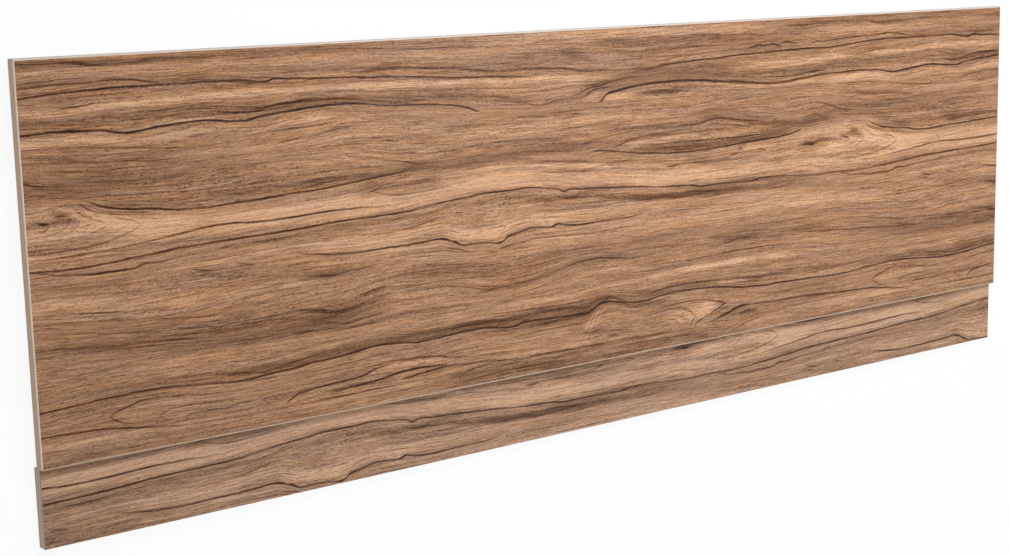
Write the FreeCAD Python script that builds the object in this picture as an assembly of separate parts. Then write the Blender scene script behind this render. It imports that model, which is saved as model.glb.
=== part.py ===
import FreeCAD, Part
import os

# A bath panel of two faced boards: a large main board, and a narrow plinth board under its bottom edge, set back
# so that toes fit below the step. Plastic strips edge the main board all round and the plinth at its two ends.
# It lies flat with the decor face up: X runs along the panel, Y points to the edge that goes under the bath's rim,
# and Z points out of the decor face. The origin is on the floor, under the middle of the panel.

# Boards, over their edging, in millimetres
panel_length = 1700.0
main_height = 465.0
main_thickness = 15.0
plinth_height = 95.0
plinth_thickness = 15.0

# Depth of the plinth's top edge that bears on the main board's bottom edge, measured from the main board's back,
# and how far the plinth's ends stop short of the main board's ends
plinth_bearing = 6.0
plinth_end_inset = 1.0

# Thickness of the edging strips, and the radius of the arrises
main_edging = 2.0
main_arris_radius = 1.5
plinth_edging = 1.0
plinth_arris_radius = 0.8

# Levels from the floor up: the back of the board that lies lower is on the floor
main_back = max(plinth_thickness - plinth_bearing, 0.0)
main_front = main_back + main_thickness
plinth_front = main_back + plinth_bearing
plinth_back = plinth_front - plinth_thickness

# Edges across the panel, from the plinth's foot to the main board's top
plinth_foot = -(plinth_height + main_height) / 2
joint_line = plinth_foot + plinth_height
main_top = joint_line + main_height

# Ends along the panel, from its middle
main_end = panel_length / 2
plinth_end = main_end - plinth_end_inset


def block(x_low, x_high, y_low, y_high, z_low, z_high):
    """A square-edged block between two corners."""
    corner = FreeCAD.Vector(x_low, y_low, z_low)
    return Part.makeBox(x_high - x_low, y_high - y_low, z_high - z_low, corner)


def front_edges(shape):
    """The edges round a block's front face."""
    level = shape.BoundBox.ZMax
    return [edge for edge in shape.Edges if abs(edge.BoundBox.ZMin - level) < Part.Precision.confusion()]


def piece(outline, cut):
    """The part of a finished outline that one board or strip fills."""
    return outline.common(cut).removeSplitter()


def main_pieces():
    """The main board and its four strips: the long strips cover the ends of the short ones."""
    square = block(-main_end, main_end, joint_line, main_top, main_back, main_front)
    outline = square.makeFillet(main_arris_radius, square.Edges)
    board_end = main_end - main_edging
    board_foot = joint_line + main_edging
    board_top = main_top - main_edging
    cuts = {
        "main_board": (-board_end, board_end, board_foot, board_top),
        "main_top_edging": (-main_end, main_end, board_top, main_top),
        "main_bottom_edging": (-main_end, main_end, joint_line, board_foot),
        "main_left_edging": (-main_end, -board_end, board_foot, board_top),
        "main_right_edging": (board_end, main_end, board_foot, board_top),
    }
    return {name: piece(outline, block(*cut, main_back, main_front)) for name, cut in cuts.items()}


def plinth_pieces():
    """The plinth board and the strips on its two ends, with the arrises of the face eased all round."""
    square = block(-plinth_end, plinth_end, plinth_foot, joint_line, plinth_back, plinth_front)
    outline = square.makeFillet(plinth_arris_radius, front_edges(square))
    board_end = plinth_end - plinth_edging
    cuts = {
        "plinth_board": (-board_end, board_end),
        "plinth_left_edging": (-plinth_end, -board_end),
        "plinth_right_edging": (board_end, plinth_end),
    }
    return {
        name: piece(outline, block(*cut, plinth_foot, joint_line, plinth_back, plinth_front))
        for name, cut in cuts.items()
    }


os.makedirs("parts", exist_ok=True)
for node, shape in {**main_pieces(), **plinth_pieces()}.items():
    shape.exportStep(f"parts/{node}.step")
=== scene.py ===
import math

import bpy
from mathutils import Matrix, Vector

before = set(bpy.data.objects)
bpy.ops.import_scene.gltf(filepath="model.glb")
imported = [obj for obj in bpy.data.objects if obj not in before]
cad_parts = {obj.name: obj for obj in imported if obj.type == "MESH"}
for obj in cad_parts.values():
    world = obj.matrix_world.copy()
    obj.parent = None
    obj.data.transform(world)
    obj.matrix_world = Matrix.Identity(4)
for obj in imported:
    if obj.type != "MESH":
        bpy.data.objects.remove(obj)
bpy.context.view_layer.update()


# Main board: the large upper board, about 15 mm of chipboard with a printed walnut decor pressed on its face
# and a plain backing paper on its back. The decor comes off a print cylinder, so its veins come round again
# along the board. All of it is drawn in millimetres on the sheet, from the board's lower left corner.

# The print comes round again after this length, and this much lower.
repeat = 1306.0
drift = 3.0


def add(tree, kind, *given, **settings):
    """Adds a node. Settings go onto it, and values or other nodes' outputs go into its inputs in order."""
    node = tree.nodes.new("ShaderNode" + kind)
    for name, value in settings.items():
        setattr(node, name, value)
    for socket, value in zip([socket for socket in node.inputs if socket.enabled], given):
        if isinstance(value, bpy.types.NodeSocket):
            tree.links.new(value, socket)
        elif value is not None:
            socket.default_value = value
    return node


def calc(tree, operation, *given):
    """The result of one sum on values or other nodes' outputs."""
    return add(tree, "Math", *given, operation=operation).outputs[0]


def ranged(tree, value, given, wanted):
    """A value carried over from one range to another, and held at its ends."""
    return add(tree, "MapRange", value, *given, *wanted).outputs[0]


def colour(red, green, blue):
    """A colour as a picture editor shows it, from 0 to 255, as the shader's linear values."""
    parts = [part / 255.0 for part in (red, green, blue)]
    linear = [part / 12.92 if part <= 0.04045 else ((part + 0.055) / 1.055) ** 2.4 for part in parts]
    return (*linear, 1.0)


sheet = bpy.data.node_groups.new("walnut_print", "ShaderNodeTree")
sheet.interface.new_socket("Place", in_out="INPUT", socket_type="NodeSocketVector")
for name in ("Tone", "Warmth"):
    sheet.interface.new_socket(name, in_out="OUTPUT", socket_type="NodeSocketFloat")
entry = sheet.nodes.new("NodeGroupInput")
split = add(sheet, "SeparateXYZ", entry.outputs[0])
along_mm = split.outputs[0]
up_mm = split.outputs[1]


def streaks(across, length, width, detail=1.0, along=along_mm):
    """Noise drawn out along the grain: length and width are the size of a streak in millimetres."""
    run = calc(sheet, "MULTIPLY", along, 1.0 / length)
    rise = calc(sheet, "MULTIPLY", across, 1.0 / width)
    place = add(sheet, "CombineXYZ", run, rise).outputs[0]
    return add(sheet, "TexNoise", place, 1.0, detail, 0.5, noise_dimensions="2D").outputs[0]


def plus(total, part, amount, middle=0.5):
    """Adds part to total, counted from its middle and times amount."""
    scaled = calc(sheet, "MULTIPLY_ADD", part, amount, -middle * amount)
    return calc(sheet, "ADD", total, scaled)


def thrice(value):
    """A value on all three channels, to go with three lines at once."""
    return add(sheet, "CombineXYZ", value, value, value).outputs[0]


# No vein is ruled: the sheet wavers a little, slowly and then finely. The bands' edges are feathered by
# the grain.
waver = plus(up_mm, streaks(up_mm, 110.0, 40.0), 2.0)
waver = plus(waver, streaks(up_mm, 16.0, 9.0), 1.0)
drifted = calc(sheet, "MULTIPLY_ADD", along_mm, drift / repeat, waver)
rise_mm = thrice(drifted)
feathered = thrice(plus(drifted, streaks(up_mm, 60.0, 2.5), 8.0))
turn = plus(along_mm, streaks(up_mm, 30.0, 15.0), 3.0)
run_mm = thrice(calc(sheet, "WRAP", turn, repeat, 0.0))


def undrifted(points):
    """The points of a line on the sheet, with the drift of the print taken out of their heights."""
    return [(point[0], point[1] + drift * point[0] / repeat) for point in points]


def draw(curve, points, ends):
    """Draws a line on one channel of a curves node: smooth, but straight up to a stroke's ends."""
    curve.points[0].location = points[0]
    curve.points[1].location = points[-1]
    for point in points[1:-1]:
        curve.points.new(*point)
    for point, end in zip(curve.points, ends):
        point.handle_type = "VECTOR" if end else "AUTO_CLAMPED"


def three_lines(lines, ends=None):
    """The heights of up to three lines at the same place along the sheet."""
    node = add(sheet, "VectorCurve", 1.0, run_mm)
    node.mapping.use_clip = False
    node.mapping.extend = "HORIZONTAL"
    for channel in range(3):
        line = lines[channel] if channel < len(lines) else [(0.0, 0.0), (repeat, 0.0)]
        line_ends = ends[channel] if ends and channel < len(lines) else [False] * len(line)
        draw(node.mapping.curves[channel], line, line_ends)
    node.mapping.update()
    return node.outputs[0]


def summed(channels, amounts):
    """The three channels added up, each times its own amount."""
    return add(sheet, "VectorMath", channels, amounts, operation="DOT_PRODUCT").outputs[1]


# The grain between the veins follows these lines, from the sheet's foot to its top: the height at which each
# line counts as level, and its (x, y) points.
grain_lines = [
    (-18, [(0, -18), (1306, -21)]),
    (20, [(0, 20), (120, 21), (300, 20), (500, 19), (620, 22), (760, 20), (1000, 18), (1100, 12),
          (1160, 20), (1306, 17)]),
    (72, [(0, 66.5), (120, 73), (265, 65), (455, 78), (525, 73), (610, 77), (675, 72), (790, 72.5),
          (845, 86), (900, 76), (970, 81), (1060, 76), (1150, 67), (1306, 63.5)]),
    (104, [(0, 103), (340, 103), (640, 102), (840, 108), (950, 109), (1100, 111), (1306, 100)]),
    (137, [(0, 140), (130, 131), (250, 122), (340, 125), (400, 126), (470, 140), (560, 140), (660, 128),
           (740, 137), (810, 147), (900, 141), (1100, 143), (1306, 137)]),
    (171, [(0, 172), (150, 160), (300, 170), (400, 172), (500, 178), (600, 172), (700, 176), (850, 172),
           (1000, 170), (1306, 169)]),
    (200, [(0, 200), (200, 204), (352, 207), (430, 201.5), (560, 204), (590, 193), (650, 189), (700, 201),
           (800, 198), (920, 203), (1306, 197)]),
    (238, [(0, 228.5), (100, 229), (250, 238), (400, 243), (510, 246), (625, 257), (700, 258), (800, 247),
           (900, 240), (1010, 231), (1150, 231), (1306, 225.5)]),
    (290, [(0, 302), (60, 301), (115, 289), (200, 280), (300, 282.5), (420, 289), (500, 297), (600, 296),
           (700, 293), (800, 285), (840, 292), (900, 288), (1000, 282), (1130, 287), (1225, 296),
           (1306, 299)]),
    (320, [(0, 328), (60, 322), (150, 318), (300, 325), (440, 320), (520, 310), (700, 312), (800, 310),
           (880, 318), (1000, 321), (1050, 327), (1120, 317), (1200, 314), (1260, 318), (1306, 325)]),
    (350, [(0, 350), (90, 346), (200, 345), (350, 350), (430, 358), (600, 355), (800, 352), (1000, 345),
           (1200, 352), (1306, 347)]),
    (380, [(0, 380.5), (125, 375.5), (220, 382), (285, 378), (390, 388), (480, 382.5), (600, 374),
           (725, 366), (790, 376), (840, 378), (940, 384), (1050, 380), (1170, 370), (1306, 377.5)]),
    (418, [(0, 421), (120, 427), (240, 427), (300, 423), (440, 421), (560, 413.5), (650, 412), (730, 412),
           (820, 406), (900, 403), (1000, 411), (1160, 416), (1306, 418)]),
    (475, [(0, 475), (1306, 472)]),
]
grain = grain_lines[0][0]
for start in range(0, len(grain_lines) - 1, 3):
    steps = grain_lines[start:start + 4]
    heights = [undrifted(points) for _, points in steps]
    spans = [above[0] - below[0] for below, above in zip(steps, steps[1:])]
    spans += [0.0] * (3 - len(spans))
    limits = (three_lines(heights[:-1]), three_lines(heights[1:]), (0, 0, 0), (1, 1, 1))
    part = add(sheet, "MapRange", rise_mm, *limits, data_type="FLOAT_VECTOR", clamp=True)
    grain = calc(sheet, "ADD", summed(part.outputs[1], spans), grain)

# Strokes that lie this far apart can share a line, which stays level for a short way past each stroke.
least_gap = 14.0
level_way = 5.0


def share(strokes):
    """Puts strokes that lie apart one after another on the same line, with nothing drawn between them."""
    lines = []
    for stroke in sorted(strokes):
        for line in lines:
            if stroke[0][0] - line[-1][0] > least_gap:
                line.append((line[-1][0] + level_way, line[-1][1], 0))
                line.append((stroke[0][0] - level_way, stroke[0][1], 0))
                line.extend(stroke)
                break
        else:
            lines.append(list(stroke))
    return lines


def calc_thrice(operation, *given):
    """The result of one sum on all three channels."""
    return add(sheet, "VectorMath", *given, operation=operation).outputs[0]


def lay(total, height, width, strokes, crown, amount):
    """Lays strokes on the sheet, three lines at a time. The crown is how full they are across."""
    lines = share(strokes)
    for start in range(0, len(lines), 3):
        three = lines[start:start + 3]
        ends = [[dark == 0 for _, _, dark in points] for points in three]
        middle = three_lines([undrifted(points) for points in three], ends)
        strength = three_lines([[(x, dark) for x, _, dark in points] for points in three])
        away = calc_thrice("ABSOLUTE", calc_thrice("SUBTRACT", height, middle))
        body = calc_thrice("MULTIPLY_ADD", away, (-1.0 / width,) * 3, (crown,) * 3)
        body = calc_thrice("MAXIMUM", body, (0, 0, 0))
        body = calc_thrice("MINIMUM", body, (1, 1, 1))
        total = calc(sheet, "MULTIPLY_ADD", summed(body, strength), amount, total)
    return total


# Veins, by half their width in millimetres: each is a list of (x, y, darkness) points.
veins = {
    0.8: [
        [(940, 56.5, 0), (970, 56.5, .2), (1000, 55, .2), (1016, 51, .2), (1024, 46, .2), (1026, 42, 0)],
        [(950, 47, 0), (968, 45.8, .3), (980, 43.8, .4), (987, 40.5, .4), (991, 37, .35), (994, 33.5, 0)],
        [(986, 25.5, 0), (990, 29.5, .35), (992, 33, .4), (994, 36.5, 0)],
        [(793, 42, 0), (808, 44.5, .2), (825, 44.2, .15), (840, 43, .15), (852, 41.6, .12),
         (862, 39.8, .12), (868, 37.6, .15), (872, 35.5, 0)],
        [(846, 32.8, 0), (856, 33.2, .2), (863, 34.6, .3), (868, 36.6, .3), (872, 38.4, 0)],
        [(1016, 27, 0), (1034, 32.5, .4), (1052, 38.5, .5), (1068, 43.5, .5), (1080, 46, .3),
         (1092, 47.5, 0)],
        [(20, 262, 0), (45, 260.5, .15), (70, 259, .12), (95, 261, .2), (112, 264.5, .12),
         (122, 268.5, .3), (126, 271.5, 0)],
        [(40, 268, 0), (54, 270, .12), (66, 272.5, .25), (76, 274.5, .4), (84, 277, 0)],
        [(72, 298, 0), (84, 292.5, .4), (100, 287.7, .6), (120, 284.5, .4), (142, 282.3, .5),
         (160, 281, 0)],
        [(640, 377, 0), (660, 373, .25), (685, 370, .3), (705, 368, .25), (720, 367, 0)],
        [(630, 385, 0), (650, 383, .1), (675, 379, .3), (700, 375, .2), (715, 373, 0)],
        [(790, 383, 0), (805, 386, .3), (820, 388.5, .35), (840, 391, .3), (860, 394, 0)],
        [(1186, 428.5, 0), (1194, 429.5, .75), (1206, 428.7, .65), (1212, 427, .85), (1222, 426.5, 0)],
        [(860, 417.5, 0), (880, 419, .3), (920, 421, .3), (1000, 421, .25), (1060, 423, .25),
         (1105, 423.3, .2), (1120, 424, 0)],
        [(45, 406.5, 0), (55, 407.5, .5), (80, 409.5, .7), (95, 411.5, .55), (108, 411.5, .12),
         (118, 412, 0)],
        [(1150, 380.5, 0), (1162, 380, .7), (1180, 379, .9), (1200, 379, .35), (1232, 381, .45),
         (1258, 382.3, .65), (1272, 383, .35), (1285, 383, 0)],
        [(30, 350.5, 0), (55, 349, .2), (90, 344.5, .2), (120, 343, .25), (150, 340.5, .4), (175, 338, 0)],
        [(0, 365, .35), (80, 362, .35), (150, 356, .35), (200, 352, .25), (235, 349.5, 0)],
        [(0, 328, .45), (15, 324, .7), (40, 322, .3), (60, 320, 0)],
        [(300, 361.5, 0), (330, 363, .35), (362, 364.2, .45), (395, 366, .7), (410, 367, 0)],
        [(420, 322.5, 0), (440, 320.5, .15), (465, 317, .12), (490, 313, .3), (518, 307.5, .55),
         (540, 303, 0)],
        [(1130, 363.5, 0), (1150, 363, .3), (1200, 362, .3), (1306, 362, .35)],
        [(835, 322, 0), (860, 324, .3), (900, 325.3, .2), (950, 324.5, .35), (990, 324, .1),
         (1005, 324, 0)],
        [(795, 306, 0), (808, 309, .35), (825, 312.5, .35), (850, 316, .35), (880, 318.5, .3),
         (920, 319.5, 0)],
        [(64, 300, 0), (70, 296.5, .5), (80, 291, .6), (95, 286, .6), (110, 283, .55), (130, 281, .5),
         (150, 279, .4), (180, 276, .35), (220, 272, .35), (260, 274, 0)],
        [(18, 290.5, 0), (25, 289.5, .2), (30, 287, .25), (33, 283.5, .2), (34.5, 280, 0)],
        [(16, 271.5, 0), (22, 273, .35), (27, 276, .4), (31, 280, .35), (33, 282, 0)],
        [(18, 266.5, 0), (26, 267.5, .35), (35, 269, .4), (43, 271.5, .4), (49, 275, .35), (53, 279, 0)],
        [(36, 265.5, 0), (46, 266.5, .3), (55, 269.5, .4), (61, 274, .45), (64, 279, .4), (66, 283, 0)],
        [(62, 291.5, 0), (67, 288.5, .5), (72, 285.5, .5), (80, 281.5, .5), (88, 278.5, .3),
         (94, 275.5, .2), (98, 273, 0)],
        [(62, 263.5, 0), (75, 264.5, .25), (88, 267, .3), (95, 270, .4), (98, 273, 0)],
        [(98, 281.5, 0), (108, 279.5, .4), (118, 277, .5), (128, 274.5, .55), (135, 271.5, .55),
         (139, 267.5, 0)],
        [(18, 294, 0), (28, 297, .3), (40, 299, .3), (55, 299, .25), (65, 297, 0)],
        [(900, 297.5, 0), (930, 297.3, .5), (980, 297, .55), (1040, 296, .85), (1090, 295.5, .35),
         (1140, 295.3, .25), (1175, 294, 0)],
        [(455, 277, 0), (462, 278.5, .35), (480, 283, .3), (500, 288, .3), (525, 293, 0)],
        [(455, 277, 0), (464, 274.5, .35), (472, 272.5, .35), (490, 269, .35), (515, 268, .3),
         (560, 271, .25), (610, 276, .2), (650, 279, 0)],
        [(1135, 274.5, 0), (1142, 274.3, .7), (1148, 273, .9), (1153, 272, 0)],
        [(1150, 267, 0), (1180, 269, .3), (1200, 269, .3), (1225, 266, .2), (1250, 263, 0)],
        [(200, 208.5, 0), (205, 207.5, .6), (225, 204, .45), (232, 203, 0)],
        [(262, 208.5, 0), (266, 208, .5), (280, 204, .45), (286, 203, 0)],
        [(300, 55.5, 0), (330, 57, .22), (360, 59.5, .4), (400, 62, .45), (432, 64.2, .35), (462, 66, .12),
         (500, 66.5, .15), (560, 67, 0)],
        [(150, 38.3, 0), (152.5, 40.6, .4), (156, 43.2, .4), (162, 44.8, .45), (175, 45.8, .4),
         (195, 46, .35), (215, 45, .4), (240, 44.2, .25), (280, 43.5, 0)],
        [(150, 39.7, 0), (152.5, 37.2, .4), (156, 34.6, .45), (162, 32.8, .3), (172, 31.6, 0)],
        [(181, 30.8, 0), (184, 32.6, .6), (188, 34.4, .55), (195, 35.4, .4), (210, 35, .4),
         (225, 34.6, .4), (237, 33.8, .45), (247, 35.6, .35), (257, 37.3, .3), (270, 37.4, .2),
         (285, 37, 0)],
        [(181, 33, 0), (184, 30.6, .6), (187, 28.8, .4), (192, 27.6, 0)],
        [(286, 37.3, 0), (291, 34.5, .4), (294, 31, .5), (297, 28, .3), (299, 26, 0)],
        [(299, 38.2, 0), (304, 36.2, .3), (308, 33.5, .4), (311, 31, 0)],
        [(122, 366.5, 0), (135, 367.5, .3), (160, 369, .4), (185, 371.5, .35), (205, 374.5, .3),
         (218, 377, 0)],
        [(450, 370.5, 0), (470, 369.5, .12), (500, 368, .1), (525, 367.5, 0)],
        [(470, 450, 0), (500, 450.3, .2), (560, 450, .25), (610, 449.5, .2), (640, 449, 0)],
        [(490, 220.5, 0), (505, 223, .3), (530, 226.5, .35), (550, 231, .3), (568, 235, 0)],
        [(1110, 163, 0), (1150, 161.5, .25), (1210, 160.5, .25), (1270, 159, .2), (1306, 157, 0)],
        [(20, 416, 0), (45, 417.5, .25), (90, 419.5, .25), (130, 420, 0)],
        [(0, 341, 0), (40, 338, .2), (90, 334.5, .1), (140, 332, .12), (190, 330, 0)],
        [(0, 313, 0), (40, 313.5, .2), (110, 312, .12), (180, 311, .08), (230, 311, 0)],
        [(60, 306, 0), (100, 305.5, .3), (160, 303, .35), (230, 302, .3), (300, 303, .2), (350, 303, 0)],
        [(0, 198, 0), (50, 196, .25), (110, 193, .08), (180, 188, .08), (240, 183, .25), (300, 178, .2),
         (350, 174, 0)],
        [(0, 178, 0), (50, 175, .25), (110, 170.5, .3), (170, 165, .25), (220, 161, 0)],
        [(0, 155, 0), (50, 152.5, .3), (100, 149, 0)],
        [(170, 141, 0), (210, 137.5, .3), (260, 134, .3), (310, 133, .3), (350, 131, 0)],
        [(200, 117, 0), (250, 114, .15), (300, 112.5, .18), (340, 112, 0)],
        [(480, 146, 0), (520, 148, .3), (580, 148.5, .3), (640, 145, .25), (690, 143, 0)],
        [(480, 172, 0), (530, 171, .25), (590, 167, .3), (640, 164, .25), (690, 166, 0)],
        [(655, 152, 0), (690, 155, .15), (730, 160.5, .1), (780, 164, .05), (830, 163.5, 0)],
        [(860, 153, 0), (900, 152, .08), (950, 151, .2), (1000, 152, .4), (1050, 151.5, .4),
         (1085, 149, 0)],
        [(860, 130, 0), (910, 127, .25), (970, 124, .25), (1040, 125, .4), (1100, 127, .65),
         (1160, 126, .25), (1220, 123, 0)],
        [(1150, 147, 0), (1200, 146, .25), (1250, 144, .25), (1306, 142, 0)],
        [(640, 92, 0), (690, 90.5, .3), (750, 90, .3), (800, 90.5, .25), (830, 93, 0)],
        [(10, 61, 0), (50, 61.5, .2), (90, 64, .25), (130, 67, .25), (170, 66.5, .2), (220, 62, 0)],
        [(560, 18, 0), (600, 18.5, .35), (650, 21, .35), (690, 20, .3), (730, 17, 0)],
        [(560, 9, 0), (610, 10.5, .35), (660, 13, .2), (710, 12, .15), (760, 8, 0)],
        [(700, 5, 0), (760, 3.5, .35), (820, 5, .15), (880, 6, .3), (950, 5, 0)],
        [(820, 18, 0), (870, 17, .3), (930, 16, .3), (1000, 14, .3), (1060, 14, 0)],
        [(1040, 4, 0), (1070, 10, .3), (1100, 17.5, .3), (1140, 25, .3), (1170, 26.5, 0)],
        [(660, 356, 0), (710, 354.5, .05), (770, 355, .25), (830, 356, .18), (900, 355, .1),
         (960, 354, 0)],
        [(880, 347, 0), (930, 347, .25), (990, 347, .25), (1050, 351, .2), (1090, 352, 0)],
        [(500, 327, 0), (560, 326, .12), (620, 324, .08), (690, 322, .3), (750, 321, .25), (800, 320, 0)],
        [(690, 438, 0), (740, 437, .12), (800, 439, .15), (860, 441, .15), (930, 440, .15),
         (1000, 439, .15), (1060, 441, 0)],
        [(850, 430, 0), (900, 430, .12), (960, 430.5, .15), (1020, 431, .2), (1080, 433, .15),
         (1130, 434, 0)],
        [(340, 438, 0), (400, 436, .12), (460, 434, .15), (530, 433, .15), (600, 431, .15), (660, 428, .1),
         (700, 426, 0)],
        [(560, 398, 0), (600, 396, .3), (660, 393.5, .3), (700, 391, .25), (740, 389, .2), (780, 387, 0)],
    ],
    1.05: [
        [(0, 431.5, .5), (40, 433.5, .55), (90, 434.5, .55), (120, 436, .6), (140, 434.5, .6),
         (160, 431.5, .45), (175, 429.5, .06), (190, 429, 0)],
        [(1248, 425, 0), (1256, 426.5, .6), (1262, 428, .6), (1275, 427, .35), (1290, 427.5, .35),
         (1306, 428.5, .5)],
        [(0, 421, .7), (50, 424.5, .7), (90, 426, .75), (120, 427, .75), (200, 426.5, .45),
         (240, 427, .45), (270, 426.5, .65), (290, 424.5, .6), (305, 422.5, .7), (315, 423, 1),
         (320, 425.5, 1), (340, 424.5, .85), (400, 421.5, .65), (438, 421.3, .7), (447, 419.6, 1),
         (456, 419.3, .8), (480, 419, .9), (520, 416.5, .65), (560, 413.5, .75), (600, 411, .75),
         (640, 409, .85), (675, 407.5, .6), (700, 406, .4), (718, 405, 0)],
        [(885, 401.5, 0), (905, 403, .35), (925, 404.5, .55), (950, 408, .6), (1000, 411, .85),
         (1060, 413, .55), (1100, 415, .8), (1165, 416, .7), (1200, 417.2, .9), (1225, 417.8, .95),
         (1250, 417.8, .85), (1285, 417, .7), (1306, 418, .7)],
        [(1116, 423.5, 0), (1124, 425, .45), (1134, 427, .6), (1141, 428.3, .75), (1147, 427, .35),
         (1158, 426.5, .4), (1168, 427.5, .65), (1175, 426, .75), (1182, 424.5, .6), (1190, 424, 0)],
        [(1195, 451, 0), (1215, 451.5, .05), (1250, 453, .15), (1280, 455.5, .12), (1306, 457, .12)],
        [(0, 380.5, 1), (45, 381.5, .95), (80, 380.5, .95), (100, 380, .75), (115, 376.5, .9),
         (130, 375, 1), (142, 375.5, 1), (160, 378, .95), (200, 381, .9), (220, 382, 1), (235, 381.5, .85),
         (255, 379.5, .95), (275, 378, 1), (290, 378, .9), (295, 380, 1), (310, 382.5, .9),
         (340, 384.5, 1), (380, 387.5, .9), (400, 388, .85), (440, 387, .7), (480, 382.6, .65),
         (525, 380.7, .9), (575, 377.6, .65), (598, 374.5, .6), (610, 371.5, .85), (617, 369, .95),
         (623, 366.5, .8), (628, 365, 0)],
        [(640, 381, 0), (655, 378, .2), (690, 373.5, .3), (705, 371, .35), (716, 367.5, .45),
         (732, 366.3, .4), (752, 370.5, .35), (778, 374.3, .3), (792, 377, .35), (803, 380.5, .45),
         (815, 384.5, .5), (832, 386, .5), (850, 390, .4), (880, 394, .3), (905, 397.5, 0)],
        [(790, 371, 0), (800, 372, .4), (808, 374.5, .45), (822, 381.5, .5), (845, 383.5, .4),
         (862, 385.5, 0)],
        [(1258, 336.5, 0), (1268, 334.5, .35), (1284, 331.5, .45), (1306, 325, .4)],
        [(320, 348, 0), (345, 350, .35), (365, 352, .15), (400, 357, .35), (430, 360, .1), (480, 360, 0)],
        [(965, 321, 0), (1000, 320.5, .35), (1020, 321, .28), (1035, 324, .3), (1050, 326, .18),
         (1070, 324, .15), (1095, 320, .2), (1130, 316.5, .3), (1165, 313, 0)],
        [(975, 330.7, 0), (1000, 335.2, .25), (1030, 338.7, .3), (1052, 339.7, .2), (1070, 337.7, .06),
         (1092, 331.7, .08), (1120, 324.7, .2), (1160, 318.7, 0)],
        [(1246, 325, 0), (1256, 320, .12), (1270, 314.5, .2), (1286, 308, .12), (1298, 303, 0)],
        [(72, 303.2, 0), (80, 299.2, .5), (90, 295.2, .9), (100, 292.2, 1), (115, 289.2, 1),
         (130, 287.2, 1), (150, 285.7, .95), (165, 284.2, .95), (180, 281.2, .85), (200, 280.2, .7),
         (225, 279.7, .7), (260, 281.7, .7), (300, 282.7, .95), (340, 284.7, .9), (380, 286.4, .85),
         (420, 289.2, .9), (450, 292.2, .85), (480, 295.2, .5), (500, 296.8, .45), (515, 298.2, .1),
         (540, 298.2, 0)],
        [(0, 241, .2), (100, 243.5, .4), (140, 247, .75), (180, 251, .75), (200, 253, .65),
         (215, 255, .75), (240, 257, .9), (260, 257, .9), (280, 255.5, .85), (295, 255, .9),
         (340, 255.8, .95), (400, 258, 1), (432, 258, .85), (460, 257, .6), (490, 256.5, 0)],
        [(0, 248, 0), (30, 248, .4), (60, 249, .4), (80, 250.5, .4), (95, 253, .4), (108, 255.5, .4),
         (120, 259, .45), (128, 261.5, .45), (134, 264, .5), (137, 266, .5), (139, 268, 0)],
        [(790, 297.7, 0), (815, 297.2, .2), (840, 296.2, .8), (860, 294.2, .7), (880, 290.7, .65),
         (900, 288.2, .6), (940, 284.4, .85), (980, 282.4, 1), (1010, 281.9, 1), (1050, 283, .65),
         (1090, 285.2, .7), (1130, 287.2, .95), (1160, 288.2, .95), (1190, 289.8, .9), (1210, 292.2, .9),
         (1224, 295.5, .85), (1230, 297.2, 0)],
        [(1082, 269.5, 0), (1087, 270.5, .7), (1094, 271.5, .5), (1098, 273, 0)],
        [(1097, 275, 0), (1102, 278, .85), (1107, 280, 0)],
        [(1220, 234, 0), (1275, 236.5, .2), (1306, 238, .25)],
        [(0, 228.5, .7), (45, 227, .7), (100, 229, .95), (130, 231, .85), (160, 233, .8),
         (190, 235.5, .65), (250, 238, .95), (300, 239, .8), (340, 240, .9), (400, 243.3, .9),
         (475, 244.7, .95), (510, 246, .75), (540, 249, .45), (570, 252, .65), (600, 254, .65),
         (625, 256.8, .9), (690, 257, 1), (700, 258, .85), (720, 256, .65), (740, 253.5, .6),
         (760, 250.5, .65), (766, 247.5, .6), (771, 247, .85), (777, 249.3, .6), (800, 247, .95),
         (850, 243.8, 1), (900, 240.3, .5), (950, 236.3, .6), (1000, 233.2, .65), (1012, 231.5, 1),
         (1020, 229.6, .6), (1100, 229.5, .6), (1130, 229, .4), (1138, 230.5, .55), (1146, 231.5, .6),
         (1180, 230, .4), (1220, 227.5, .3), (1260, 225.7, .25), (1306, 225.5, .7)],
        [(10, 227, 0), (20, 225, .5), (35, 221.5, .3), (60, 219.5, .4), (80, 218, .8), (100, 218.5, .9),
         (120, 218, .8), (131, 219.5, .6), (140, 223, .8), (160, 222, .5), (180, 224.5, .35),
         (235, 227, .18), (250, 230, .45), (262, 232, 0)],
        [(345, 210, 0), (352, 209, .15), (375, 205.8, .6), (400, 203.3, .65), (430, 201.7, .65),
         (480, 201.8, .85), (525, 202.7, .95), (555, 204.4, .9), (566, 203.6, 1), (572, 201.9, 1),
         (577, 199.6, .5), (582, 197.4, .75), (586, 195.4, 1), (590, 192.9, .75), (597, 191.3, .65),
         (615, 191.4, .65), (641, 189.8, .65), (656, 188.3, .85), (661, 189.6, .85), (665, 191.6, .8),
         (669, 194.8, 1), (680, 196.9, .8), (697, 200.8, .75), (714, 202.6, .75), (736, 200.8, .75),
         (744, 200.2, .9), (749, 201.5, 1), (754, 203.1, .95), (763, 201.5, .9), (780, 198.8, .65),
         (800, 198.2, .95), (822, 198.8, .55), (860, 198.8, .6), (880, 198.7, .55), (900, 201, .45),
         (922, 203.3, 0)],
        [(566, 192, 0), (575, 190, .45), (588, 187.8, .55), (600, 183, .5), (608, 181, 0)],
        [(636, 179.7, 0), (641, 178.5, .6), (646, 177, .4), (651, 175.8, 0)],
        [(653, 180, 0), (660, 181.4, .45), (668, 182.8, .45), (675, 184, .2), (681, 184.8, 0)],
        [(686, 183.5, 0), (695, 184.8, .35), (706, 186.8, .5), (720, 187.8, .5), (740, 187.3, .45),
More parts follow.
